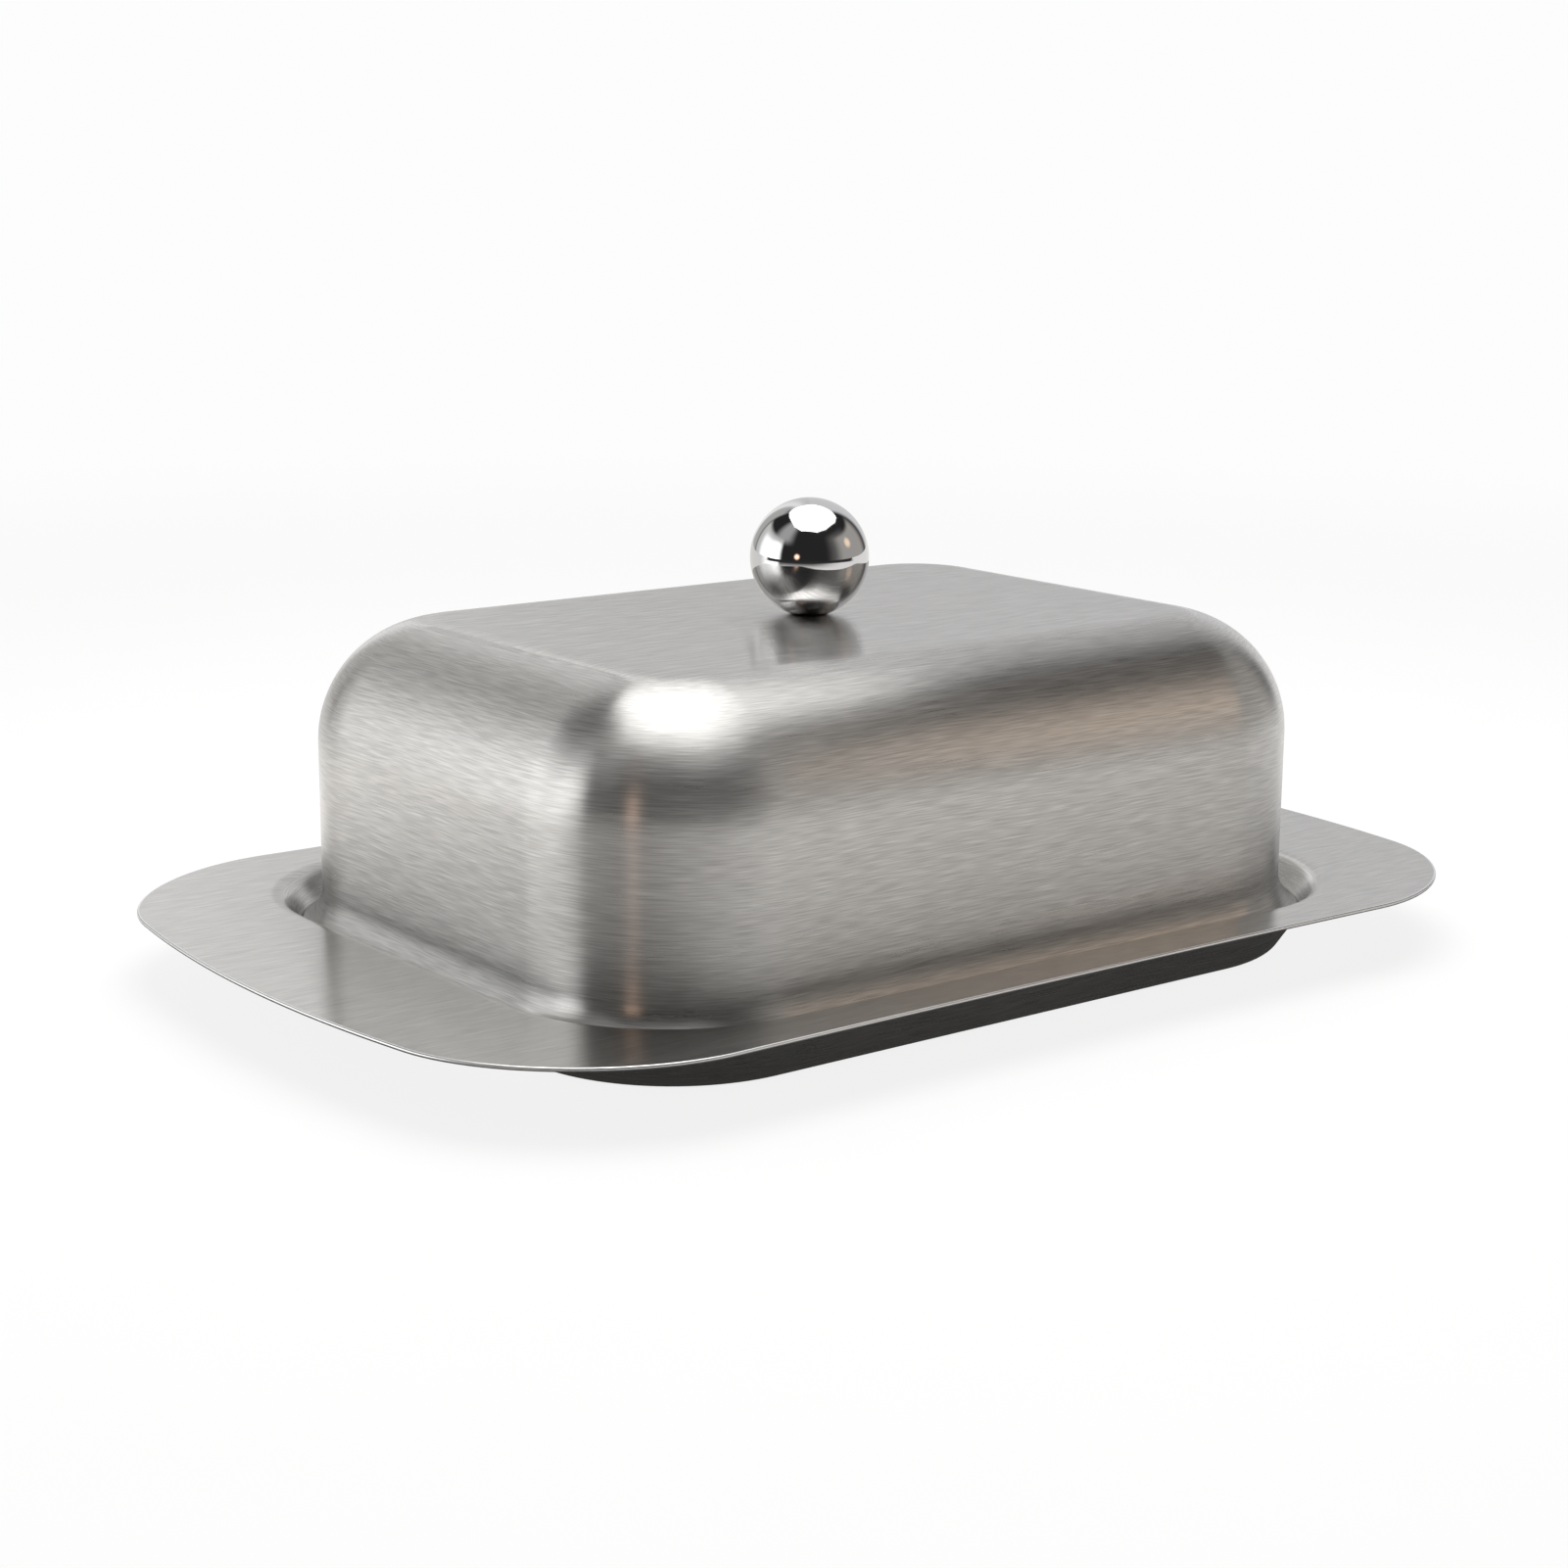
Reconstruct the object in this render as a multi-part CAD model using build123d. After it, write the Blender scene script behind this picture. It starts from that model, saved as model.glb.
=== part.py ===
from build123d import *
import math
import os

# Covered butter dish in stainless sheet: a tray, a domed lid and a ball knob
# held by a screw and washer.  Millimetres.
# +X runs along the length, +Y across the width, +Z up.  The origin is the
# middle of the base underside, so z = 0 is the table.

# ---------------------------------------------------------------- tray ----
SHEET_TRAY = 0.6          # tray sheet thickness
TRAY_HEIGHT = 10.75       # table to the top of the broad rim
RIM_UNDERSIDE = TRAY_HEIGHT - SHEET_TRAY
RIM_HALF_L = 87.45        # rim outline before bowing: half length
RIM_HALF_W = 64.05        #                            half width
RIM_CORNER_R = 27.1       #                            corner radius
END_BOW = 9.2             # how far each short end bows out at its middle
SIDE_BOW = -1.1           # the same for the long sides, which waist in
RIM_STRAIGHT_STEPS = 5    # spline spans along each half side
RIM_CORNER_STEPS = 8      # spline spans round each corner
RIM_EDGE_R = 0.2          # broken edge of the rim

WELL_BASE_HALF_L = 67.1   # outside of the well wall run down to the table
WELL_BASE_HALF_W = 49.1
WELL_BASE_R = 24.3
WELL_SPREAD = 5.4         # how far the wall leans out, table to rim underside
WELL_R_GROWTH = 2.0       # corner radius gained over the same height
WELL_TOP_HALF_L = WELL_BASE_HALF_L + WELL_SPREAD
WELL_TOP_HALF_W = WELL_BASE_HALF_W + WELL_SPREAD
WELL_LIP_R = 3.2          # roll from the rim down into the well (top face)
WELL_FLOOR_R = 3.0        # roll from wall to base (underside)
WELL_R_INSET_SHARE = 0.75 # inner corner radius shrinks by this share of the skin

# ----------------------------------------------------------------- lid ----
SHEET_LID = 0.6           # lid sheet thickness
LID_HALF_L = 67.45        # outside of the upright wall
LID_HALF_W = 49.7
LID_CORNER_R = 25.0
LID_TOP = 52.4            # height of the flat top
LID_SHOULDER_R = 18.3     # big roll between wall and top
FLARE_START = 12.0        # height where the wall starts to flare out
FOOT_JOIN = FLARE_START + 1.5   # height where foot and upper blocks meet
FLARE_DROP = 5.15         # from the flare start to the foot's outer lower edge
FLARE_SWEEP = 50.0        # degrees the foot turns through
FLARE_STEPS = 8           # loft spans through the flare
FLARE_LEAN_FACTOR = 1.15  # scales the mean flare when finding the face's lean
FOOT_HALF_L = 69.76       # trimmed edge of the flared foot, which rests on
FOOT_HALF_W = 51.76       # the sloping wall of the well
FOOT_CORNER_R = 24.95

# -------------------------------------------------- knob and its fixing ---
SCREW_D = 3.0
SCREW_LENGTH = 6.4        # under the head
SCREW_TIP_CHAMFER = 0.35
SCREW_HEAD_D = 2 * SCREW_D
SCREW_HEAD_H = 2.3
SCREW_HEAD_R = 1.0        # rounding of the head's lower rim
RECESS_SPAN = 3.2         # cross recess in the screw head
RECESS_SLOT = 0.75
RECESS_DEPTH = 1.3

WASHER_OD = 8.0
WASHER_ID = SCREW_D + 0.2
WASHER_T = 0.5
WASHER_EDGE_R = 0.12      # rounding of the outer lower edge

LID_HOLE_D = SCREW_D + 0.4
LID_HOLE_CUT = 4.0        # height of the hole's cutter, down from the lid top
SCREW_SEAT = LID_TOP - SHEET_LID - WASHER_T   # washer underside

KNOB_D = 18.0             # ball diameter
KNOB_CENTRE = LID_TOP + 8.6
KNOB_BORE_D = 3.06        # tapped hole, drawn at its running size
KNOB_BORE_DEPTH = 6.8
BORE_TIP_H = 0.8          # cone closing the bore
BORE_TIP_END_R = 0.15
KNOB_TRIM_SIZE = 40.0     # block that cuts the ball flat where it meets the lid
KNOB_TRIM_H = 20.0

EDGE_HEIGHT_TOL = 0.05    # height slack when picking edges


# ------------------------------------------------------------- helpers ----
def rounded(half_l, half_w, radius, z):
    """A rounded rectangle lying flat at height z."""
    return Pos(0, 0, z) * RectangleRounded(2 * half_l, 2 * half_w, radius)


def disc(diameter, bottom, height):
    """A cylinder on the Z axis, standing on height bottom."""
    return Pos(0, 0, bottom + height / 2) * Cylinder(diameter / 2, height)


def edges_at(shape, z, half_l=math.inf, half_w=math.inf):
    """Edges lying at height z inside a half_l x half_w window."""
    found = []
    for edge in shape.edges():
        box = edge.bounding_box()
        level = (abs(box.min.Z - z) < EDGE_HEIGHT_TOL
                 and abs(box.max.Z - z) < EDGE_HEIGHT_TOL)
        if (level and max(abs(box.min.X), abs(box.max.X)) < half_l
                and max(abs(box.min.Y), abs(box.max.Y)) < half_w):
            found.append(edge)
    return found


# ---------------------------------------------------------------- tray ----
def bow(x, y):
    """Move a rim point by the end and side bows, full at mid side."""
    return (x * (1 + END_BOW / RIM_HALF_L * (1 - (y / RIM_HALF_W) ** 2)),
            y * (1 + SIDE_BOW / RIM_HALF_W * (1 - (x / RIM_HALF_L) ** 2)))


def rim_outline(z):
    """The bowed, round-cornered outline of the tray rim at height z."""
    straight_l = RIM_HALF_L - RIM_CORNER_R
    straight_w = RIM_HALF_W - RIM_CORNER_R
    steps = RIM_STRAIGHT_STEPS
    quadrant = []
    for k in range(steps):                   # up the end, from its middle
        quadrant.append((RIM_HALF_L, straight_w * k / steps))
    for k in range(RIM_CORNER_STEPS + 1):    # round the corner
        angle = math.radians(90.0 * k / RIM_CORNER_STEPS)
        quadrant.append((straight_l + RIM_CORNER_R * math.cos(angle),
                         straight_w + RIM_CORNER_R * math.sin(angle)))
    for k in reversed(range(steps)):         # along the side to its middle
        quadrant.append((straight_l * k / steps, RIM_HALF_W))
    bowed = [bow(x, y) for x, y in quadrant]

    # mirror into the other quadrants, leaving out the shared points
    ring = list(bowed)
    ring += [(-x, y) for x, y in reversed(bowed[:-1])]
    ring += [(-x, -y) for x, y in bowed[1:]]
    ring += [(x, -y) for x, y in reversed(bowed[1:-1])]
    curve = Spline(*[(x, y, z) for x, y in ring], periodic=True)
    return make_face(Wire([curve]))


def well_section(z, inset=0.0):
    """The well wall's section at height z, stepped in from its outside."""
    rise = z / RIM_UNDERSIDE
    return rounded(WELL_BASE_HALF_L + WELL_SPREAD * rise - inset,
                   WELL_BASE_HALF_W + WELL_SPREAD * rise - inset,
                   WELL_BASE_R + WELL_R_GROWTH * rise - WELL_R_INSET_SHARE * inset, z)


def make_tray():
    rim = extrude(rim_outline(RIM_UNDERSIDE), amount=SHEET_TRAY, dir=(0, 0, 1))
    rim = fillet([edge for edge in rim.edges()
                  if edge.bounding_box().size.Z < 0.01], RIM_EDGE_R)

    well = loft([well_section(0), well_section(RIM_UNDERSIDE)], ruled=True)
    well = fillet(edges_at(well, 0), WELL_FLOOR_R)
    body = rim + well
    # the windows take in the well's edges and leave out the rim's
    body = fillet(edges_at(body, RIM_UNDERSIDE, WELL_TOP_HALF_L + 0.5, WELL_TOP_HALF_W + 0.5),
                  WELL_LIP_R - SHEET_TRAY)

    # sheet thickness measured level through the sloping wall
    skin = SHEET_TRAY * math.sqrt(1 + (WELL_SPREAD / RIM_UNDERSIDE) ** 2)
    hollow = loft([well_section(SHEET_TRAY, skin), well_section(TRAY_HEIGHT, skin)],
                  ruled=True)
    hollow = fillet(edges_at(hollow, SHEET_TRAY), WELL_FLOOR_R - SHEET_TRAY)
    body = body - hollow
    return fillet(edges_at(body, TRAY_HEIGHT, WELL_TOP_HALF_L + 1.0, WELL_TOP_HALF_W + 1.0),
                  WELL_LIP_R)


# ----------------------------------------------------------------- lid ----
# skin = 0 gives a block's outer face, and skin = the sheet thickness gives
# the hollow inside it.
def lid_join_section(skin):
    return rounded(LID_HALF_L - skin, LID_HALF_W - skin, LID_CORNER_R - skin, FOOT_JOIN)


def upper_solid(skin):
    """The upright wall, shoulder and top as a solid block."""
    top = LID_TOP - skin
    block = extrude(lid_join_section(skin), amount=top - FOOT_JOIN)
    return fillet(edges_at(block, top), LID_SHOULDER_R - skin)


def foot_solid(skin):
    """The flared foot as a solid block, and the height of its underside."""
    sweep = math.radians(FLARE_SWEEP)
    radius = FLARE_DROP / math.sin(sweep)
    out_l = FOOT_HALF_L - LID_HALF_L
    out_w = FOOT_HALF_W - LID_HALF_W
    mean_out = (out_l + out_w) / 2 * FLARE_LEAN_FACTOR
    rings = [lid_join_section(skin)]
    for k in range(FLARE_STEPS + 1):         # from the flare start downwards
        turn = sweep * k / FLARE_STEPS
        share = (1 - math.cos(turn)) / (1 - math.cos(sweep))
        # slope of the face at this turn, for stepping in by the sheet
        lean = math.atan2(mean_out * math.sin(turn) / (1 - math.cos(sweep)),
                          radius * math.cos(turn))
        inset = skin * math.cos(lean)
        z = FLARE_START - radius * math.sin(turn) - skin * math.sin(lean)
        rings.append(rounded(LID_HALF_L + out_l * share - inset,
                             LID_HALF_W + out_w * share - inset,
                             LID_CORNER_R + (FOOT_CORNER_R - LID_CORNER_R) * share - inset, z))
    return loft(list(reversed(rings))), z


def make_lid():
    outer_foot, outer_low = foot_solid(0.0)
    inner_foot, inner_low = foot_solid(SHEET_LID)
    # the trimmed edge of the sheet, below the outer face of the foot
    edge = extrude(rounded(FOOT_HALF_L, FOOT_HALF_W, FOOT_CORNER_R, inner_low),
                   amount=outer_low - inner_low)
    shell = upper_solid(0.0) + outer_foot + edge - inner_foot - upper_solid(SHEET_LID)
    return shell - disc(LID_HOLE_D, LID_TOP - LID_HOLE_CUT, LID_HOLE_CUT)


# ----------------------------------------------------- knob and fixing ----
def make_knob():
    ball = Pos(0, 0, KNOB_CENTRE) * Sphere(KNOB_D / 2)
    ball = ball - Pos(0, 0, LID_TOP - KNOB_TRIM_H / 2) * Box(
        KNOB_TRIM_SIZE, KNOB_TRIM_SIZE, KNOB_TRIM_H)
    bore = disc(KNOB_BORE_D, LID_TOP, KNOB_BORE_DEPTH)
    tip = Pos(0, 0, LID_TOP + KNOB_BORE_DEPTH + BORE_TIP_H / 2) * Cone(
        KNOB_BORE_D / 2, BORE_TIP_END_R, BORE_TIP_H)
    return ball - bore - tip


def make_screw():
    """The screw, pointing up, with its head below the washer."""
    bottom = SCREW_SEAT - SCREW_HEAD_H
    head = disc(SCREW_HEAD_D, bottom, SCREW_HEAD_H)
    head = fillet(edges_at(head, bottom), SCREW_HEAD_R)
    shank = disc(SCREW_D, SCREW_SEAT, SCREW_LENGTH)
    shank = chamfer(edges_at(shank, SCREW_SEAT + SCREW_LENGTH), SCREW_TIP_CHAMFER)
    screw = head + shank
    for angle in (0, 90):
        screw = screw - Rot(0, 0, angle) * Pos(0, 0, bottom + RECESS_DEPTH / 2) * Box(
            RECESS_SPAN, RECESS_SLOT, RECESS_DEPTH)
    return screw


def make_washer():
    ring = disc(WASHER_OD, SCREW_SEAT, WASHER_T)
    ring = fillet(edges_at(ring, SCREW_SEAT), WASHER_EDGE_R)
    # the cutter overshoots both faces
    return ring - disc(WASHER_ID, SCREW_SEAT - WASHER_T / 2, 2 * WASHER_T)


# -------------------------------------------------------------- export ----
os.makedirs("parts", exist_ok=True)
pieces = {
    "tray": make_tray(),
    "lid": make_lid(),
    "knob": make_knob(),
    "knob_screw": make_screw(),
    "knob_washer": make_washer(),
}
for name, shape in pieces.items():
    part = Solid(shape.solids()[0].wrapped)
    part.label = name
    export_step(part, os.path.join("parts", name + ".step"))
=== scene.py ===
"""An oblong dish in brushed stainless sheet: a shallow tray with a wide rim, a domed lid
with a flared foot, and a chromed ball knob fixed by a screw and washer.

The length lies along X, the width along Y, and the tray stands on Z = 0 with its centre
on the Z axis.  The camera looks down on it from the -X, -Y side.  Sections are worked
out in millimetres; the scene and its shaders are in metres.
"""
import math

import bmesh
import bpy
import numpy as np
from mathutils import Matrix, Vector


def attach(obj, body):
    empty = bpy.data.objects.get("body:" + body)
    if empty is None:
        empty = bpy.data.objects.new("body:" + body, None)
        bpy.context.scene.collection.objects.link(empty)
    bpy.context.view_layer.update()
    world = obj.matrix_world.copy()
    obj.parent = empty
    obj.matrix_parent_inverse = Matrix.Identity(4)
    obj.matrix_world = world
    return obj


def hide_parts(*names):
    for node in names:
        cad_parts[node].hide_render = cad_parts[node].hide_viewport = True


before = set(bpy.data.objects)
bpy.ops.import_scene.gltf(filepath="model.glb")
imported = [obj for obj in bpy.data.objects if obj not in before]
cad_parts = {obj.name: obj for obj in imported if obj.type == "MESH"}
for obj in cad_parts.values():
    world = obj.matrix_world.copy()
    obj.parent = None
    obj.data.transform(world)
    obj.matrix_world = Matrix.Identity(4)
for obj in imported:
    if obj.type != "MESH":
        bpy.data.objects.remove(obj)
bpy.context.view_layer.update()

MM = 0.001

# ---------------------------------------------------------------- dimensions, mm
# A size is (half length, half width, corner radius) of a rounded rectangle.
SHEET = 0.6                     # thickness of the tray and lid metal

TRAY_H = 10.75
BASE = (67.1, 49.1, 24.3)       # outside of the wall, run on down to the ground
TOP_L, TOP_R = 72.5, 26.3       # half length and corner radius of the wall under the rim
LIP_R, FLOOR_R = 3.2, 3.0       # rolls above and below the wall
RIM = (87.45, 64.05, 27.1)
END_BOW, SIDE_BOW = 9.2, -1.1   # how far the rim's ends and sides bow outwards
RIM_ROUND = 0.285               # worn nearly to a full round
RIM_TIP_INSET = 0.005
RIM_FLAT_INSET = 0.36           # where the flat of the rim stops

LID = (67.45, 49.7, 25.0)       # outside of the upright wall
LID_TOP, SHOULDER = 52.4, 18.3  # height, and radius of the roll under the top
FOOT = (69.76, 51.76, 24.95)    # outside of the flared foot
FLARE_Z, FLARE_DROP = 12.0, 5.15
FLARE_END = math.radians(50.0)  # how far the flare turns
FLARE_LEAN = 1.15               # exaggerates the lean of the flare's normal
FOOT_BREAK = 0.07               # broken corners of the trimmed edge
HOLE_R = 1.7

KNOB_R, KNOB_Z = 9.0, 61.0
TAP_R, TAP_DEPTH = 1.53, 6.8    # tapped hole up into the knob
TAP_POINT, TAP_TIP_R = 7.6, 0.15
TAP_MOUTH_R = 1.9

# Rings set close to a roll keep its shading from spreading.
FLAT_GAP, TRAY_WALL_GAP, LID_WALL_GAP = 0.3, 0.12, 0.2

SHARP = math.radians(38.0)      # edges turning more than this are hard

N_LONG, N_SHORT, N_ARC = 44, 32, 26


# ------------------------------------------------------------------ mesh helpers
def new_object(name, verts, faces):
    """A mesh object from vertices in metres."""
    mesh = bpy.data.meshes.new(name)
    mesh.from_pydata(verts, [], faces)
    obj = bpy.data.objects.new(name, mesh)
    bpy.context.scene.collection.objects.link(obj)
    return obj


def clean(obj):
    """Outward normals, smooth faces, hard edges only where the metal has them."""
    bm = bmesh.new()
    bm.from_mesh(obj.data)
    bmesh.ops.recalc_face_normals(bm, faces=bm.faces[:])
    for face in bm.faces:
        face.smooth = True
    for edge in bm.edges:
        if len(edge.link_faces) == 2 and edge.calc_face_angle(0.0) > SHARP:
            edge.smooth = False
    bm.to_mesh(obj.data)
    bm.free()
    obj.data.update()


def between(a, b, count):
    """The points strictly between a and b that divide the way into count parts."""
    return [a + (b - a) * k / count for k in range(1, count)]


def unit(vectors, least=1e-9):
    length = np.linalg.norm(vectors, axis=-1)
    return vectors / np.maximum(length, least)[..., None]


def plan(size, grow=0.0):
    """A rounded rectangle, anticlockwise from the -X end of its -Y side."""
    half_l, half_w, r = (v + grow for v in size)
    cx, cy = half_l - r, half_w - r
    # start and end of each side, its segments, then the next corner: centre, first angle
    sides = (
        ((-cx, -half_w), (cx, -half_w), N_LONG, (cx, -cy), -90),
        ((half_l, -cy), (half_l, cy), N_SHORT, (cx, cy), 0),
        ((cx, half_w), (-cx, half_w), N_LONG, (-cx, cy), 90),
        ((-half_l, cy), (-half_l, -cy), N_SHORT, (-cx, -cy), 180),
    )
    points = []
    for start, end, count, centre, first in sides:
        for k in range(count):
            t = k / count
            points.append((start[0] + (end[0] - start[0]) * t,
                           start[1] + (end[1] - start[1]) * t))
        for k in range(N_ARC):
            angle = math.radians(first + 90.0 * k / N_ARC)
            points.append((centre[0] + r * math.cos(angle), centre[1] + r * math.sin(angle)))
    return np.array(points)


def rim_plan(inset):
    """The bowed rim outline, stepped in by inset along its own normal."""
    x, y = plan(RIM).T
    bowed = np.stack([x * (1 + END_BOW / RIM[0] * (1 - (y / RIM[1]) ** 2)),
                      y * (1 + SIDE_BOW / RIM[1] * (1 - (x / RIM[0]) ** 2))], 1)
    along = unit(np.roll(bowed, -1, 0) - np.roll(bowed, 1, 0))
    return bowed - np.stack([along[:, 1], -along[:, 0]], 1) * inset


class Sheet:
    """Rings stacked along a section.  Each ring carries how far it sits in the flat,
    lengthwise-brushed zone (1) rather than in the zone brushed round the walls (0), and
    whether it is on the cut edge, whose colour carries a painted highlight."""

    def __init__(self):
        self.rings, self.flat, self.edge = [], [], []

    def add(self, outline, z, flat, edge=0.0):
        self.rings.append(np.column_stack([outline, np.full(len(outline), float(z))]))
        self.flat.append(flat)
        self.edge.append(edge)

    def add_rows(self, rows):
        for outline, z, flat in rows:
            self.add(outline, z, flat)

    def build(self, name, closed):
        """Closed joins the last ring to the first; otherwise both ends are capped."""
        rings = np.array(self.rings)
        rows, n = rings.shape[:2]
        verts = rings.reshape(-1, 3)
        faces = []
        for i in range(rows if closed else rows - 1):
            a, b = i * n, ((i + 1) % rows) * n
            for j in range(n):
                j2 = (j + 1) % n
                faces.append((a + j, a + j2, b + j2, b + j))
        if not closed:
            verts = np.concatenate([verts, [rings[0].mean(0), rings[-1].mean(0)]])
            centre, last = rows * n, (rows - 1) * n
            faces += [((j + 1) % n, j, centre) for j in range(n)]
            faces += [(last + j, last + (j + 1) % n, centre + 1) for j in range(n)]
        obj = new_object(name, (verts * MM).tolist(), faces)
        obj.data.validate()

        attributes = (
            ("brush", "FLOAT_VECTOR", "vector", self.brush(rings).reshape(-1, 3) * MM),
            ("tanv", "FLOAT_VECTOR", "vector", self.tangent(rings, closed).reshape(-1, 3)),
            ("flatw", "FLOAT", "value", np.repeat(np.array(self.flat), n)),
            ("edgew", "FLOAT", "value", np.repeat(np.array(self.edge), n)),
        )
        caps = len(verts) - rows * n
        for label, kind, field, data in attributes:
            data = np.concatenate([data, np.repeat(data[-1:], caps, 0)])
            layer = obj.data.attributes.new(label, kind, "POINT")
            layer.data.foreach_set(field, data.astype(np.float32).ravel())
        clean(obj)
        return obj

    def tangent(self, rings, closed):
        """Across the brushing: up the section on the walls, across X on the flats."""
        around = unit(np.roll(rings, -1, 1) - np.roll(rings, 1, 1))
        if closed:
            up = np.roll(rings, -1, 0) - np.roll(rings, 1, 0)
        else:
            up = np.zeros_like(rings)
            up[1:-1] = rings[2:] - rings[:-2]
            up[0] = rings[1] - rings[0]
            up[-1] = rings[-1] - rings[-2]
        up = unit(up)
        normal = unit(np.cross(around, up))
        across = unit(np.cross(normal, np.array([1.0, 0, 0])), least=1e-3)
        across *= np.where((across * up).sum(2) < 0, -1.0, 1.0)[..., None]
        flat = np.array(self.flat)[:, None, None]
        return unit(up * (1 - flat) + across * flat, least=1e-6)

    @staticmethod
    def brush(rings):
        """Grain coordinates: the turn round the lid wall, drawn as a circle of the same
        perimeter, and the distance along the section in the middle of the -Y side."""
        middle = rings[:, N_LONG // 2]
        travel = np.cumsum(np.linalg.norm(np.diff(middle, axis=0), axis=1))
        wall = plan(LID)
        lengths = np.linalg.norm(np.roll(wall, -1, 0) - wall, axis=1)
        perimeter = lengths.sum()
        turn = np.concatenate([[0], np.cumsum(lengths)[:-1]]) / perimeter * 2 * math.pi
        radius = perimeter / (2 * math.pi)
        coords = np.zeros(rings.shape)
        coords[..., 0] = radius * np.cos(turn)[None]
        coords[..., 1] = radius * np.sin(turn)[None]
        coords[..., 2] = np.concatenate([[0], travel])[:, None]
        return coords


# -------------------------------------------------------------------------- tray
def make_tray():
    """From the middle of the floor, up and round the rim, to the middle underneath."""
    under = TRAY_H - SHEET
    slope = (TOP_L - BASE[0]) / under
    r_slope = (TOP_R - BASE[2]) / under
    turn = math.pi / 2 - math.atan(slope)       # how far each roll turns
    skin = SHEET * math.sqrt(1 + slope * slope)  # level thickness of the sloping wall
    sheet = Sheet()

    def wall(inside, z):
        """Offset from the base size, and corner radius, of the wall at height z."""
        return (slope * z - (skin if inside else 0.0),
                BASE[2] + r_slope * z - (0.75 * skin if inside else 0.0))

    def size(offset, r):
        return (BASE[0] + offset, BASE[1] + offset, r)

    def roll(bend, corner_z, inside, at_lip, count):
        """(size, z, flat) from a flat round to the wall, easing the sharp corner where
        they would meet at corner_z."""
        side = -1 if at_lip else 1
        run = bend * math.tan(turn / 2)
        corner_offset, corner_r = wall(inside, corner_z)
        centre, centre_z = corner_offset - side * run, corner_z + side * bend
        flat_r = corner_r - side * run
        wall_r = wall(inside, centre_z - side * bend * math.cos(turn))[1]
        rows = []
        for k in range(count + 1):
            t = k / count
            angle = turn * t
            share = math.sin(angle) / math.sin(turn)
            rows.append((size(centre + side * bend * math.sin(angle),
                              flat_r + (wall_r - flat_r) * share),
                         centre_z - side * bend * math.cos(angle), 1.0 - t))
        return rows

    def add_side(first, last, inside):
        """A roll, the wall and the next roll."""
        start, end = first[-1][1], last[0][1]
        gap = math.copysign(TRAY_WALL_GAP, end - start)
        heights = [start + gap] + between(start, end, 6) + [end - gap]
        straight = [(size(*wall(inside, z)), z, 0.0) for z in heights]
        sheet.add_rows((plan(s), z, flat) for s, z, flat in first + straight + last)

    def add_between(start, end, z, count):
        for t in between(0.0, 1.0, count):
            sheet.add(start * (1 - t) + end * t, z, 1.0)

    floor_roll = roll(FLOOR_R - SHEET, SHEET, inside=True, at_lip=False, count=12)
    lip_roll = roll(LIP_R, TRAY_H, inside=True, at_lip=True, count=14)[::-1]
    under_roll = roll(LIP_R - SHEET, under, inside=False, at_lip=True, count=10)
    foot_roll = roll(FLOOR_R, 0.0, inside=False, at_lip=False, count=12)[::-1]
    spread = (0.04, 0.2, 0.4, 0.6, 0.8, 0.93, 1.0)  # rings of the floor, as shares

    # floor, inside of the wall and top of the rim
    floor_edge = plan(floor_roll[0][0], -FLAT_GAP)
    for share in spread:
        sheet.add(floor_edge * share, SHEET, 1.0)
    add_side(floor_roll, lip_roll, inside=True)
    rim_start, rim_end = plan(lip_roll[-1][0], FLAT_GAP), rim_plan(RIM_FLAT_INSET)
    sheet.add(rim_start, TRAY_H, 1.0)
    add_between(rim_start, rim_end, TRAY_H, 12)
    sheet.add(rim_end, TRAY_H, 1.0)

    # rounded edge of the rim, upper then lower quarter
    quarter = [math.pi / 2 * k / 8 for k in range(9)]
    for angle in quarter:
        sheet.add(rim_plan(RIM_ROUND * (1 - math.sin(angle)) + RIM_TIP_INSET),
                  TRAY_H - RIM_ROUND + RIM_ROUND * math.cos(angle), 1.0, 1.0)
    for angle in quarter:
        sheet.add(rim_plan(RIM_ROUND * (1 - math.cos(angle)) + RIM_TIP_INSET),
                  under + RIM_ROUND - RIM_ROUND * math.sin(angle), 1.0, 1.0)

    # underside of the rim, outside of the wall and base
    sheet.add(rim_end, under, 1.0)
    rim_start = plan(under_roll[0][0], FLAT_GAP)
    add_between(rim_end, rim_start, under, 8)
    sheet.add(rim_start, under, 1.0)
    add_side(under_roll, foot_roll, inside=False)
    base_edge = plan(foot_roll[-1][0], -FLAT_GAP)
    for share in spread[::-1]:
        sheet.add(base_edge * share, 0.0, 1.0)
    return sheet.build("tray_sheet", closed=False)


# --------------------------------------------------------------------------- lid
def flare(skin, turn):
    """Size and height of the flared foot, skin deep in the sheet, at an angle of turn."""
    radius = FLARE_DROP / math.sin(FLARE_END)
    mean_out = (FOOT[0] - LID[0] + FOOT[1] - LID[1]) / 2 * FLARE_LEAN
    share = (1 - math.cos(turn)) / (1 - math.cos(FLARE_END))
    lean = math.atan2(mean_out * math.sin(turn) / (1 - math.cos(FLARE_END)),
                      radius * math.cos(turn))
    inset = skin * math.cos(lean)
    size = tuple(a + (b - a) * share - inset for a, b in zip(LID, FOOT))
    return size, FLARE_Z - radius * math.sin(turn) - skin * math.sin(lean)


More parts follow.
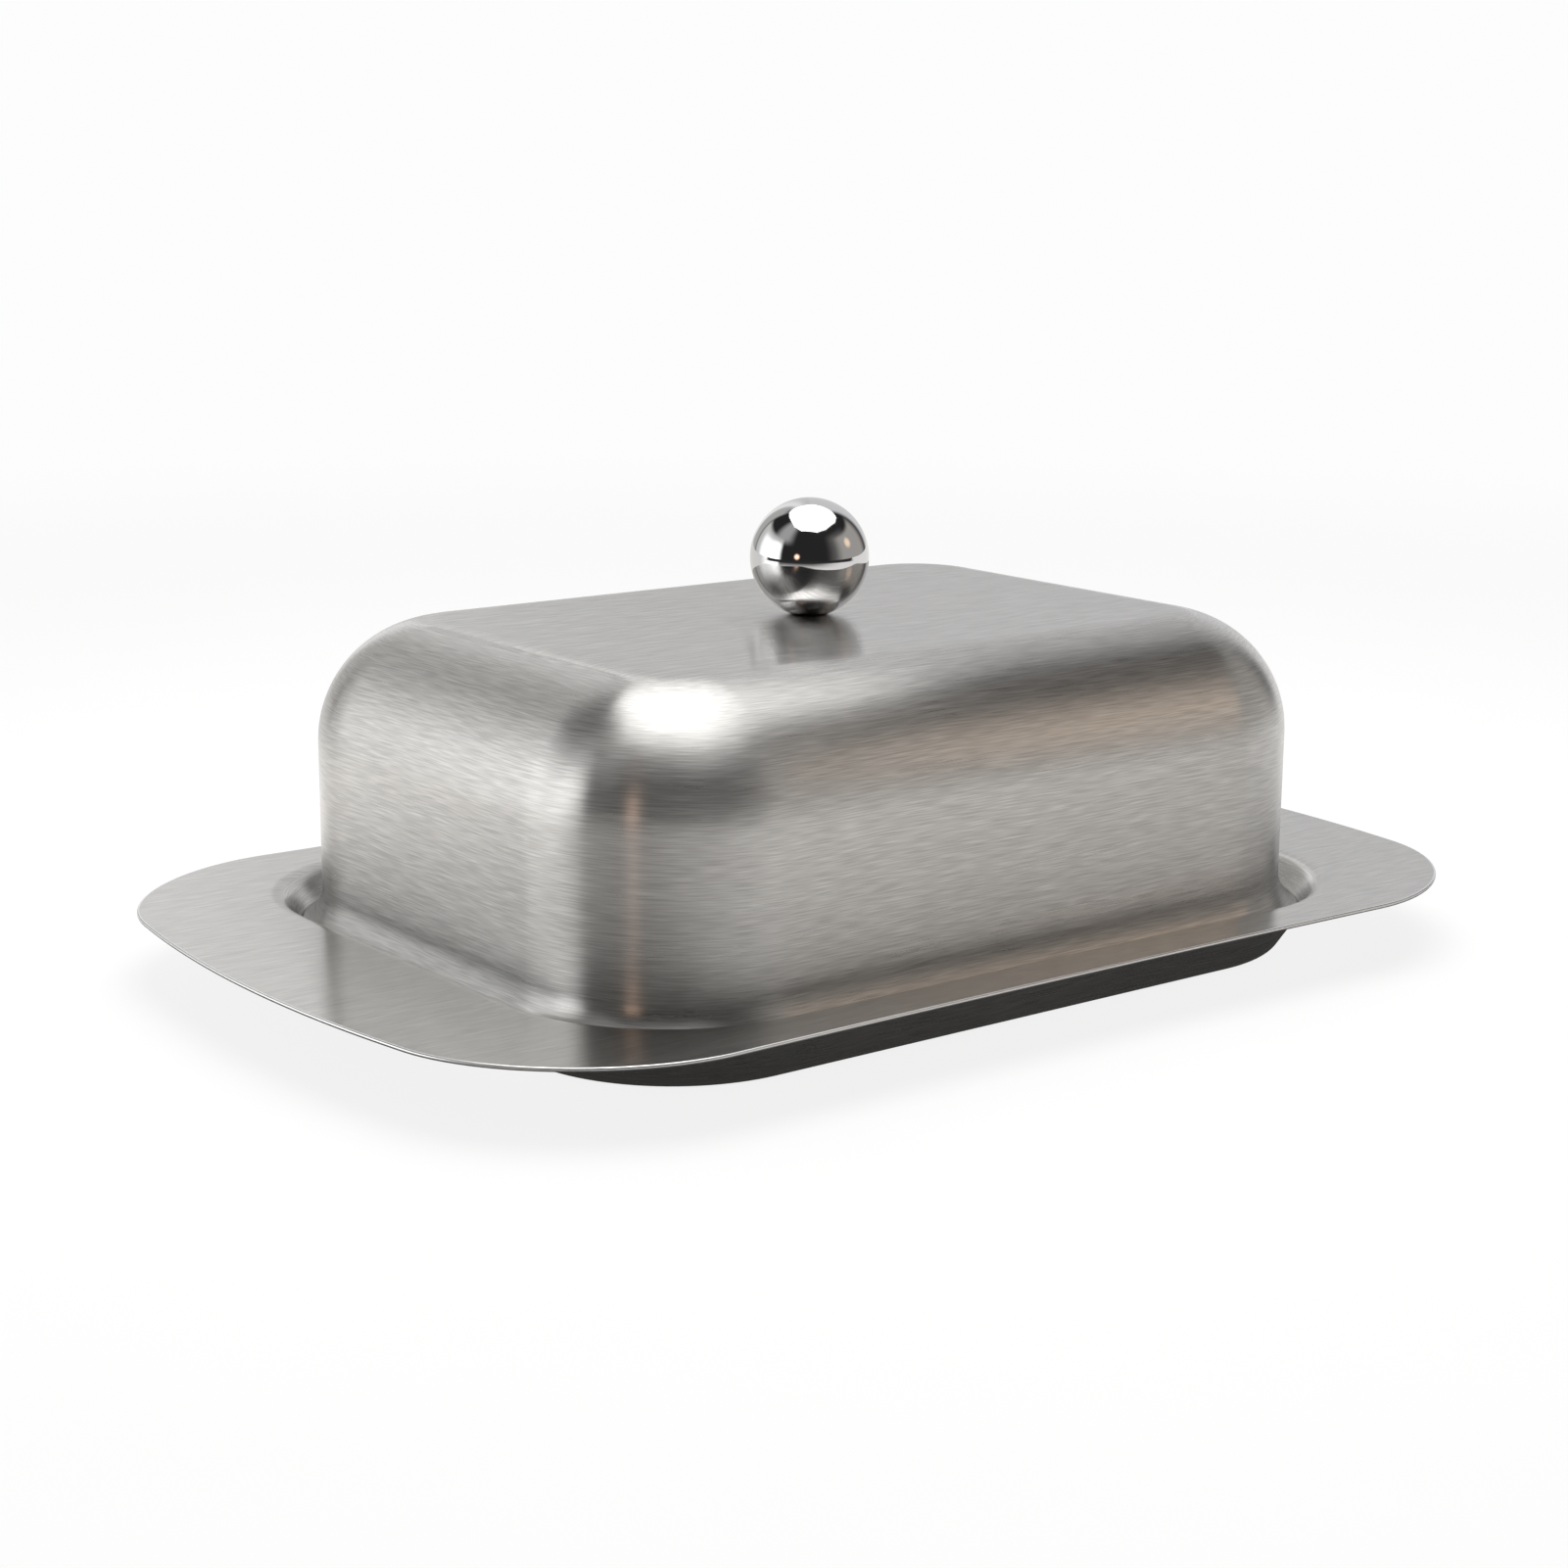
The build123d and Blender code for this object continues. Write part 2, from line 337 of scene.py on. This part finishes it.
def lid_face(skin, wall_steps):
    """Rows of one face of the lid, skin deep in the sheet, from above the flare up the
    wall and over the shoulder to the hole."""
    wall_top = LID_TOP - SHOULDER
    wall = plan(LID, -skin)
    heights = ([FLARE_Z + LID_WALL_GAP] + between(FLARE_Z, wall_top, wall_steps)
               + [wall_top - LID_WALL_GAP])
    rows = [(wall, z, 0.0) for z in heights]

    radius = SHOULDER - skin
    for k in range(41):
        angle = math.pi / 2 * k / 40
        inset = skin + radius * (1 - math.cos(angle))
        # lengthwise brushing takes over near the top of the shoulder
        t = min(max((math.degrees(angle) - 74.0) / 14.0, 0.0), 1.0)
        rows.append((plan(LID, -inset), wall_top + radius * math.sin(angle),
                     t * t * (3 - 2 * t)))

    flat = plan(LID, -SHOULDER - FLAT_GAP)
    hole = unit(flat) * HOLE_R
    for t in (0.0, 0.1, 0.22, 0.36, 0.5, 0.64, 0.78, 0.9, 0.975, 1.0):
        rows.append((flat * (1 - t) + hole * t, LID_TOP - skin, 1.0))
    return rows


def make_lid():
    """From the trimmed edge up the outer face, through the hole and back down inside."""
    sheet = Sheet()
    turns = [FLARE_END * k / 24 for k in range(25)]
    outer, outer_z = flare(0.0, FLARE_END)
    inner, inner_z = flare(SHEET, FLARE_END)

    # trimmed edge: inset and height
    for inset, z in ((FOOT_BREAK, inner_z),
                     (FOOT_BREAK * 0.3, inner_z + FOOT_BREAK * 0.3),
                     (0.0, inner_z + FOOT_BREAK),
                     (0.0, outer_z - FOOT_BREAK * 0.6)):
        sheet.add(plan(outer, -inset), z, 0.0)
    # the first ring of the flare stops just short of the edge
    for turn in [FLARE_END * 0.985] + turns[-2::-1]:
        size, z = flare(0.0, turn)
        sheet.add(plan(size), z, 0.0)
    sheet.add_rows(lid_face(0.0, wall_steps=14))
    sheet.add_rows(lid_face(SHEET, wall_steps=10)[::-1])
    for turn in turns[:-1]:
        size, z = flare(SHEET, turn)
        sheet.add(plan(size), z, 0.0)
    sheet.add(plan(inner), inner_z + 0.02, 0.0)
    sheet.add(plan(inner, FOOT_BREAK), inner_z, 0.0)
    return sheet.build("lid_shell", closed=True)


# -------------------------------------------------------------------------- knob
def lathe(name, section, count):
    """A turned piece from (radius, z) pairs in mm, on the axis at both ends."""
    verts, faces, rows = [], [], []
    for r, z in section:
        first = len(verts)
        if r < 1e-6:
            verts.append((0, 0, z * MM))
        else:
            for j in range(count):
                angle = 2 * math.pi * j / count
                verts.append((r * math.cos(angle) * MM, r * math.sin(angle) * MM, z * MM))
        rows.append(range(first, len(verts)))
    for a, b in zip(rows, rows[1:]):
        for j in range(count):
            j2 = (j + 1) % count
            if len(a) == 1:
                faces.append((a[0], b[j2], b[j]))
            elif len(b) == 1:
                faces.append((a[j], a[j2], b[0]))
            else:
                faces.append((a[j], a[j2], b[j2], b[j]))
    obj = new_object(name, verts, faces)
    clean(obj)
    return obj


def make_knob():
    """The ball, its seating flat, and the tapped hole with its drill point."""
    half = math.acos((KNOB_Z - LID_TOP) / KNOB_R)  # where the seating flat cuts the ball
    flat_r = KNOB_R * math.sin(half)
    section = [(0.0, LID_TOP + TAP_POINT), (TAP_TIP_R, LID_TOP + TAP_POINT),
               (TAP_R, LID_TOP + TAP_DEPTH)]
    section += [(TAP_R, LID_TOP + z) for z in between(TAP_DEPTH, 0.0, 8) + [0.0]]
    section += [(TAP_MOUTH_R, LID_TOP), (flat_r - 0.12, LID_TOP), (flat_r, LID_TOP + 0.02)]
    for angle in between(half, math.pi, 72):
        section.append((KNOB_R * math.sin(angle), KNOB_Z - KNOB_R * math.cos(angle)))
    section.append((0.0, KNOB_Z + KNOB_R))
    return lathe("knob_ball", section, count=144)


# ------------------------------------------------------------------ shader wiring
class Net:
    """Shorthand for wiring shader nodes.  Values may be numbers, colours or sockets."""

    def __init__(self, tree):
        self.tree = tree
        self.tree.nodes.clear()

    def new(self, kind, **settings):
        node = self.tree.nodes.new(kind)
        for key, value in settings.items():
            setattr(node, key, value)
        return node

    def put(self, socket, value):
        if value is None:
            return
        if isinstance(value, bpy.types.NodeSocket):
            self.tree.links.new(value, socket)
        elif isinstance(value, tuple) and len(value) == 3 and socket.type == "RGBA":
            socket.default_value = (*value, 1.0)
        else:
            socket.default_value = value

    def fill(self, node, values):
        """Sets inputs from a dict of input name or number to value."""
        for key, value in values.items():
            self.put(node.inputs[key], value)
        return node

    def math(self, op, a, b=None):
        node = self.new("ShaderNodeMath", operation=op)
        return self.fill(node, {0: a, 1: b}).outputs[0]

    def add(self, a, b):
        return self.math("ADD", a, b)

    def sub(self, a, b):
        return self.math("SUBTRACT", a, b)

    def mul(self, a, b):
        return self.math("MULTIPLY", a, b)

    def swing(self, noise, amount):
        """A 0 to 1 noise centred on zero and scaled."""
        return self.mul(self.sub(noise, 0.5), amount)

    def root_sum(self, a, b):
        """The square root of a squared plus b squared."""
        return self.math("SQRT", self.add(self.mul(a, a), self.mul(b, b)))

    def vec(self, op, a, b=None):
        node = self.fill(self.new("ShaderNodeVectorMath", operation=op), {0: a, 1: b})
        return node.outputs["Value" if op in ("DOT_PRODUCT", "LENGTH") else 0]

    def ramp(self, value, start, end, low=0.0, high=1.0):
        """low below start, high above end, smooth between."""
        node = self.new("ShaderNodeMapRange", interpolation_type="SMOOTHSTEP", clamp=True)
        self.fill(node, {"Value": value, "From Min": start, "From Max": end,
                         "To Min": low, "To Max": high})
        return node.outputs["Result"]

    def mix(self, factor, a, b):
        node = self.new("ShaderNodeMix", data_type="RGBA")
        return self.fill(node, {"Factor": factor, 6: a, 7: b}).outputs[2]

    def mix_value(self, factor, a, b):
        node = self.new("ShaderNodeMix", data_type="FLOAT")
        return self.fill(node, {"Factor": factor, 2: a, 3: b}).outputs[0]

    def mix_vector(self, factor, a, b):
        node = self.new("ShaderNodeMix", data_type="VECTOR")
        return self.fill(node, {"Factor": factor, 4: a, 5: b}).outputs[1]

    def mix_shader(self, factor, a, b):
        return self.fill(self.new("ShaderNodeMixShader"), {0: factor, 1: a, 2: b}).outputs[0]

    def noise(self, vector, scale, detail=2.0, rough=0.5):
        node = self.new("ShaderNodeTexNoise", noise_dimensions="3D")
        self.fill(node, {"Vector": vector, "Scale": scale, "Detail": detail,
                         "Roughness": rough})
        return node.outputs[0]

    def combine(self, x, y, z):
        return self.fill(self.new("ShaderNodeCombineXYZ"), {0: x, 1: y, 2: z}).outputs[0]

    def split(self, vector):
        return tuple(self.fill(self.new("ShaderNodeSeparateXYZ"), {0: vector}).outputs)

    def position(self):
        return self.new("ShaderNodeTexCoord").outputs["Object"]

    def attribute(self, name, output="Fac"):
        return self.new("ShaderNodeAttribute", attribute_name=name).outputs[output]

    def ray(self, kind):
        return self.new("ShaderNodeLightPath").outputs[kind]

    def bump(self, strength, distance, height):
        node = self.new("ShaderNodeBump")
        self.fill(node, {"Strength": strength, "Distance": distance, "Height": height})
        return node.outputs[0]

    def glow(self, colour, strength=1.0, kind="ShaderNodeEmission"):
        return self.fill(self.new(kind), {0: colour, 1: strength}).outputs[0]


def new_material(name):
    """An empty material, its net and its output node."""
    material = bpy.data.materials.new(name)
    material.use_nodes = True
    net = Net(material.node_tree)
    return material, net, net.new("ShaderNodeOutputMaterial")


def new_metal(name):
    """A material with a metallic surface, its net and its surface node."""
    material, net, out = new_material(name)
    bsdf = net.new("ShaderNodeBsdfPrincipled")
    net.put(out.inputs[0], bsdf.outputs[0])
    net.put(bsdf.inputs["Metallic"], 1.0)
    return material, net, bsdf


# --------------------------------------------------------------------- materials
def brushed_steel(name, rough, streak, seed, painted_shade):
    """Stainless sheet brushed in one direction.  The grain follows the brush attribute
    round the walls and the X axis on the flats.  streak is the strength of the grain;
    the last argument is painted shade, how much the colour is darkened low on the dish
    in other metal's reflections."""
    material, net, bsdf = new_metal(name)
    pos = net.position()
    brush = net.attribute("brush", "Vector")
    tangent = net.attribute("tanv", "Vector")
    flat = net.attribute("flatw")

    # the brush never runs quite true
    drift = net.sub(net.noise(pos, scale=45.0, detail=1.0), 0.5)
    brush_x, brush_y, brush_z = net.split(brush)
    x, y, z = net.split(pos)
    wall_drift, flat_drift = 0.0008, 0.0004
    brush_z = net.add(brush_z, net.mul(drift, wall_drift))
    y = net.add(y, net.mul(drift, flat_drift))
    z_share = 0.37              # lets height shift the grain of the flats
    across = net.add(y, net.mul(z, z_share))
    flat_seed = 7.3             # sets the grain of the flats apart from the walls'

    def grain(length, width, detail, offset):
        """Noise drawn out along the brushing: length and width in metres."""
        a, b = 1.0 / length, 1.0 / width
        wall = net.combine(net.mul(brush_x, a),
                           net.add(net.mul(brush_y, a), offset + seed),
                           net.mul(brush_z, b))
        top = net.combine(net.mul(x, a), net.mul(across, b), offset + seed + flat_seed)
        vector = net.mix_vector(net.math("GREATER_THAN", flat, 0.5), wall, top)
        return net.noise(vector, scale=1.0, detail=detail, rough=0.62)

    fine = grain(length=0.0042, width=0.00015, detail=0.0, offset=0.0)
    mid = grain(length=0.0085, width=0.00024, detail=0.0, offset=11.0)
    broad = grain(length=0.060, width=0.0030, detail=2.0, offset=23.0)
    cloud = net.noise(pos, scale=26.0, detail=3.0)
    # thin deeper scratches, sparse
    cut = net.ramp(grain(length=0.0032, width=0.00020, detail=0.0, offset=31.0),
                   start=0.62, end=0.80)

    # brightness up and down along the grain, about its mean and never below its least
    mean, least = 0.995, 0.84
    shade = net.add(net.swing(fine, amount=0.66 * streak), net.swing(mid, amount=0.32 * streak))
    shade = net.add(shade, net.swing(broad, amount=0.05))
    shade = net.add(shade, net.swing(cloud, amount=0.05))
    shade = net.add(shade, net.mul(cut, 0.10 * streak))
    shade = net.math("MAXIMUM", net.add(shade, mean), least)
    tint = (0.615, 0.605, 0.59)
    scaled = net.new("ShaderNodeVectorMath", operation="SCALE")
    colour = net.fill(scaled, {0: tint, "Scale": shade}).outputs[0]
    warmth, warm_tint = 0.25, (1.02, 0.995, 0.965)
    colour = net.mix(net.mul(cloud, warmth), colour, net.vec("MULTIPLY", colour, warm_tint))

    # painted shade: what one brushed sheet sees of another is darkened low on the dish, in
    # place of the shade between the parts
    glossy = net.ray("Is Glossy Ray")
    low = net.ramp(z, start=0.036, end=0.046, low=1.0, high=0.0)
    painted_shade_factor = net.sub(1.0, net.mul(net.mul(glossy, low), painted_shade))
    colour = net.vec("MULTIPLY", colour, net.combine(painted_shade_factor, painted_shade_factor, painted_shade_factor))

    flat_polish, rough_swing = 0.08, 0.05  # flats are smoother; roughness follows the grain
    roughness = net.sub(rough, net.mul(flat, flat_polish))
    roughness = net.add(roughness, net.swing(mid, rough_swing))
    roughness = net.add(roughness, net.swing(broad, rough_swing))

    # the cut rim has no grain and is smoother; its colour is lifted near white, a painted
    # highlight that brightens the line its rounded edge reflects from the soft box
    edge, rim = net.attribute("edgew"), net.attribute("edgew")
    rim_highlight_colour, rim_rough, anisotropy = (0.93, 0.93, 0.93), 0.30, 0.93
    grain_height = 0.6
    height = net.add(net.mul(fine, grain_height), net.mul(mid, grain_height))
    net.fill(bsdf, {
        "Base Color": net.mix(edge, colour, rim_highlight_colour),
        "Roughness": net.mix_value(rim, roughness, rim_rough),
        "Anisotropic": net.mix_value(rim, anisotropy, 0.0),
        "Tangent": tangent,
        "Normal": net.bump(strength=0.40 * streak, distance=0.000003, height=height),
    })
    return material


def chrome(name):
    """Polished plated ball: a clear mirror with faint haze and wipe marks."""
    material, net, bsdf = new_metal(name)
    pos = net.position()
    haze = net.noise(pos, scale=160.0, detail=4.0, rough=0.6)
    x, y, z = net.split(pos)
    along, up = 260.0, 2600.0   # wipe marks per metre, level and upright
    wipe = net.noise(net.combine(net.mul(x, along), net.mul(y, along), net.mul(z, up)),
                     scale=1.0, detail=3.0, rough=0.6)
    clear_rough, haze_rough, wipe_rough = 0.035, 0.045, 0.03
    roughness = net.add(clear_rough, net.mul(net.ramp(haze, start=0.45, end=0.75), haze_rough))
    roughness = net.add(roughness, net.mul(net.ramp(wipe, start=0.6, end=0.8), wipe_rough))
    height = net.add(wipe, net.noise(pos, scale=420.0, detail=2.0))
    net.fill(bsdf, {
        "Base Color": net.mix(haze, (0.72, 0.72, 0.73), (0.76, 0.755, 0.75)),
        "Roughness": roughness,
        "Normal": net.bump(strength=0.25, distance=0.000004, height=height),
    })
    return material


def turned_steel(name, tint, rough, pitch):
    """Turned or stamped fixing steel: fine rings round the Z axis, dull haze."""
    material, net, bsdf = new_metal(name)
    pos = net.position()
    x, y, z = net.split(pos)
    radius = net.root_sum(x, y)
    rings = net.noise(net.combine(net.mul(radius, 1.0 / pitch), net.mul(z, 1.0 / pitch), 0.3),
                      scale=1.0, detail=2.0)
    haze = net.noise(pos, scale=700.0, detail=4.0, rough=0.6)
    dark, bright = 0.86, 1.1    # the rings' swing about the tint
    colour = net.mix(rings, tuple(c * dark for c in tint), tuple(c * bright for c in tint))
    haze_share, haze_colour = 0.4, (0.40, 0.385, 0.36)
    colour = net.mix(net.mul(net.ramp(haze, start=0.5, end=0.8), haze_share),
                     colour, haze_colour)
    haze_height = 0.4
    height = net.add(rings, net.mul(haze, haze_height))
    net.fill(bsdf, {
        "Base Color": colour,
        "Roughness": net.add(rough, net.swing(haze, amount=0.25)),
        "Normal": net.bump(strength=0.5, distance=0.00002, height=height),
    })
    return material


# -------------------------------------------------------------------- the studio
# camera place and axes
CAMERA_AT = Vector((-0.26865, -0.34135, 0.12272))
RIGHT = Vector((0.79182458, -0.61071377, 0.00652109))
UP = Vector((0.1279472, 0.17631207, 0.97598339))
FORWARD = Vector((0.59719624, 0.77197328, -0.21774735))
# level directions: towards the camera, and to its right
NEAR = Vector((-FORWARD.x, -FORWARD.y, 0)).normalized()
ACROSS = Vector((RIGHT.x, RIGHT.y, 0)).normalized()

BACKDROP = (0.98, 0.98, 0.98)   # what the camera sees of world and far floor

# The soft box, as (across, near) in multiples of its height above the knob's centre.
SOFTBOX_HEIGHT = 0.30
SOFTBOX_OUTLINE = (
    (-0.49, -0.51), (-0.53, -0.23), (-0.49, 0.32), (-0.30, 0.60), (0.26, 0.68),
    (0.55, 0.44), (0.74, -0.10), (0.71, -0.45), (0.52, -0.68), (0.08, -0.79),
    (-0.40, -0.62),
)

# The room, each patch laid over those before it.  Angles are in degrees; azimuth is 0
# towards the camera and 90 to its right.
# box: azimuth from, to, elevation from, to, softness in azimuth, in elevation
# spot: azimuth, elevation, radius
ROOM = (
    ("box", (-158, -134, -14, 50, 10, 14), (0.48, 0.48, 0.47)),   # left of the sweep
    ("box", (46, 90, -26, 42, 30, 16), (0.15, 0.145, 0.14)),      # dim return of the wall
    ("box", (62, 131, -30, 36, 22, 8), (0.40, 0.385, 0.365)),     # grey wall, right
    ("spot", (86.5, 22, 10), (1.12, 0.86, 0.66)),                 # its lamp
    ("box", (-84, -44, 30, 70, 26, 16), (0.42, 0.42, 0.415)),     # wall above the window
    ("box", (-131, -60, -24, 33, 9, 8), (0.66, 0.66, 0.65)),      # window, left
    ("box", (-115, -63, -6, 25, 14, 11), (0.90, 0.91, 0.92)),
    ("box", (-112, -64, -6, 24, 20, 11), (1.56, 1.58, 1.59)),
    ("box", (-80, -64, -6, 24, 16, 11), (1.95, 1.97, 1.98)),
    ("spot", (-25, 7, 7.0), (2.1, 1.4, 1.02)),                    # small lamp in the room
)


def azimuth_of(net, vector):
    """The vector's azimuth in degrees, and its reach towards the camera."""
    across = net.vec("DOT_PRODUCT", vector, tuple(ACROSS))
    near = net.vec("DOT_PRODUCT", vector, tuple(NEAR))
    return net.mul(net.math("ARCTAN2", across, near), 180 / math.pi), near


def make_camera():
    camera = bpy.data.cameras.new("camera")
    camera.sensor_width = 36.0
    camera.lens = 66.453
    camera.clip_start = 0.01
    camera.clip_end = 50.0
    obj = bpy.data.objects.new("camera", camera)
    bpy.context.scene.collection.objects.link(obj)
    turn = Matrix((RIGHT, UP, -FORWARD)).transposed()
    obj.matrix_world = Matrix.Translation(CAMERA_AT) @ turn.to_4x4()
    bpy.context.scene.camera = obj


def make_world():
    """A pale sweep behind, a soft window to the left, a grey wall to the right and an
    unlit room in front."""
    world = bpy.data.worlds.new("studio")
    bpy.context.scene.world = world
    world.use_nodes = True
    net = Net(world.node_tree)
    out = net.new("ShaderNodeOutputWorld")
    direction = net.new("ShaderNodeTexCoord").outputs["Generated"]
    azimuth, _ = azimuth_of(net, direction)
    elevation = net.mul(net.math("ARCSINE", net.split(direction)[2]), 180 / math.pi)

    def band(value, low, high, soft):
        half = soft / 2
        return net.mul(net.ramp(value, low - half, low + half),
                       net.ramp(value, high - half, high + half, low=1.0, high=0.0))

    def box(az_from, az_to, el_from, el_to, az_soft, el_soft):
        return net.mul(band(azimuth, az_from, az_to, az_soft),
                       band(elevation, el_from, el_to, el_soft))

    def spot(az, el, radius):
        aside = net.mul(net.sub(azimuth, az), math.cos(math.radians(el)))
        distance = net.root_sum(aside, net.sub(elevation, el))
        return net.ramp(distance, start=radius * 0.25, end=radius, low=1.0, high=0.0)

    # pale sweep behind, in the unlit room
    unlit, sweep_right = (0.024, 0.023, 0.024), (0.70, 0.70, 0.71)
    sweep_back, sweep_left = (0.66, 0.66, 0.66), (0.95, 0.95, 0.95)
    back = net.math("MAXIMUM", net.ramp(azimuth, start=136.0, end=150.0),
                    net.ramp(azimuth, start=-158.0, end=-144.0, low=1.0, high=0.0))
    side = net.ramp(azimuth, start=-20.0, end=20.0)
    left = net.mix(net.ramp(azimuth, start=-178.0, end=-164.0), sweep_back, sweep_left)
    colour = net.mix(back, unlit, net.mix(side, left, sweep_right))
    masks = {"box": box, "spot": spot}
    for shape, place, patch in ROOM:
        colour = net.mix(masks[shape](*place), colour, patch)

    # seen by the camera, the studio is a plain pale backdrop
    room = net.glow(colour, kind="ShaderNodeBackground")
    plain = net.glow(BACKDROP, kind="ShaderNodeBackground")
    net.put(out.inputs[0], net.mix_shader(net.ray("Is Camera Ray"), room, plain))
    world.cycles.sampling_method = "MANUAL"
    world.cycles.sample_map_resolution = 512


def floor_material():
    material, net, out = new_material("floor")
    pos = net.position()
    radius = net.vec("LENGTH", pos)
    camera = net.ray("Is Camera Ray")

    # for the camera: a lifted pale table that fades into the backdrop
    camera_lift = 0.85
    diffuse = net.new("ShaderNodeBsdfDiffuse")
    mottle = net.noise(pos, scale=30.0, detail=2.0)
    net.put(diffuse.inputs[0], net.mix(mottle, (0.225, 0.225, 0.225), (0.24, 0.24, 0.24)))
    lift = net.glow((1, 1, 1), net.mul(camera, camera_lift))
    table = net.fill(net.new("ShaderNodeAddShader"), {0: diffuse.outputs[0], 1: lift})
    seen = net.mix_shader(net.ramp(radius, start=0.30, end=0.75), table.outputs[0],
                          net.glow(BACKDROP))

    # for the metal: light from the soft box falls away over the table, and fill from
    # either side holds it up
    x, y, _ = net.split(pos)
    azimuth, near = azimuth_of(net, pos)
    reach, brightest = 0.13, 1.75  # square of the fall-off distance, tone at the centre
    fill_front, fill_left, fill_right = 0.78, 1.75, 0.88  # least tone in each sector
    fall = net.math("DIVIDE", reach, net.add(net.mul(radius, radius), reach))
    fall = net.mul(net.mul(fall, fall), brightest)
    tone = net.math("MAXIMUM", fall, fill_front)
    tone = net.mix_value(net.ramp(azimuth, start=-112, end=-82), tone,
                         net.math("MAXIMUM", fall, fill_left))
    tone = net.mix_value(net.ramp(azimuth, start=-68, end=-58), tone, fall)
    tone = net.mix_value(net.ramp(azimuth, start=0, end=70), tone,
                         net.math("MAXIMUM", fall, fill_right))

    # the dish's own shadow, a squared oval
    half_length, half_width, power = 0.100, 0.068, 4.0
    u = net.math("DIVIDE", x, half_length)
    v = net.math("DIVIDE", y, half_width)
    oval = net.math("POWER", net.add(net.math("POWER", net.math("ABSOLUTE", u), power),
                                     net.math("POWER", net.math("ABSOLUTE", v), power)),
                    1 / power)
    tone = net.mul(tone, net.ramp(oval, start=0.92, end=2.2, low=0.03, high=1.0))

    # the table ends where the unlit room begins
    unlit_tone = 0.03
    edge = net.mul(net.ramp(radius, start=0.60, end=0.80),
                   net.ramp(near, start=-0.1, end=0.1))
    tone = net.mix_value(edge, tone, unlit_tone)
    colour = net.mix(net.ramp(azimuth, start=0, end=90), (1.0, 0.985, 0.96),
                     (1.0, 0.99, 0.975))
    net.put(out.inputs[0], net.mix_shader(camera, net.glow(colour, tone), seen))
    return material


def make_floor():
    """A round table top, just below the tray."""
    count, radii = 96, (0.3, 0.7, 1.5, 3.0, 6.0)
    verts = [(0, 0, 0)]
    for radius in radii:
        for j in range(count):
            angle = 2 * math.pi * j / count
            verts.append((radius * math.cos(angle), radius * math.sin(angle), 0))
    faces = [(0, 1 + j, 1 + (j + 1) % count) for j in range(count)]
    for i in range(len(radii) - 1):
        a, b = 1 + i * count, 1 + (i + 1) * count
        for j in range(count):
            j2 = (j + 1) % count
            faces.append((a + j, b + j, b + j2, a + j2))
    obj = new_object("floor", verts, faces)
    obj.location.z = -0.00005
    obj.data.materials.append(floor_material())


def make_softbox():
    """The overhead soft box: an eleven-sided white card above the dish."""
    verts = []
    for across, near in SOFTBOX_OUTLINE:
        point = ACROSS * (across * SOFTBOX_HEIGHT) + NEAR * (near * SOFTBOX_HEIGHT)
        verts.append((point.x, point.y, KNOB_Z * MM + SOFTBOX_HEIGHT))
    obj = new_object("softbox", verts, [tuple(range(len(verts)))])
    material, net, out = new_material("softbox")
    # brighter over its left half
    across = net.vec("DOT_PRODUCT", net.position(), tuple(ACROSS))
    strength = net.ramp(across, start=0.00, end=0.19, low=2.5, high=1.55)
    net.put(out.inputs[0], net.glow((1.0, 1.0, 0.99), strength))
    obj.data.materials.append(material)
    obj.visible_camera = False


def set_render():
    scene = bpy.context.scene
    scene.view_settings.view_transform = "Standard"
    scene.view_settings.look = "None"
    scene.cycles.use_denoising = True
    scene.cycles.max_bounces = 8
    scene.cycles.glossy_bounces = 6
    scene.cycles.sample_clamp_indirect = 8.0
    scene.cycles.blur_glossy = 0.3


# ------------------------------------------------------------------------- build
def install(obj, material, carrier, part):
    """Puts obj in place of a CAD part, moving with carrier."""
    obj.data.materials.append(material)
    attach(obj, carrier)
    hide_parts(part)


# the last setting of each steel is painted shade, darkening its colour low on the dish in other
# metal's reflections
install(make_tray(), brushed_steel("tray_steel", rough=0.28, streak=0.7, seed=3.0, painted_shade=0.6),
        "tray", "tray")
install(make_lid(), brushed_steel("lid_steel", rough=0.29, streak=0.85, seed=0.0, painted_shade=0.08),
        "lid", "lid")
install(make_knob(), chrome("knob_chrome"), "lid", "knob")

# CAD fixings: tint, roughness, pitch of the rings in metres
for name, tint, rough, pitch in (("knob_screw", (0.58, 0.57, 0.55), 0.30, 0.00018),
                                 ("knob_washer", (0.62, 0.61, 0.59), 0.34, 0.00030)):
    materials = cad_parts[name].data.materials
    materials.clear()
    materials.append(turned_steel(name + "_steel", tint, rough, pitch))

make_floor()
make_softbox()
make_world()
make_camera()
set_render()
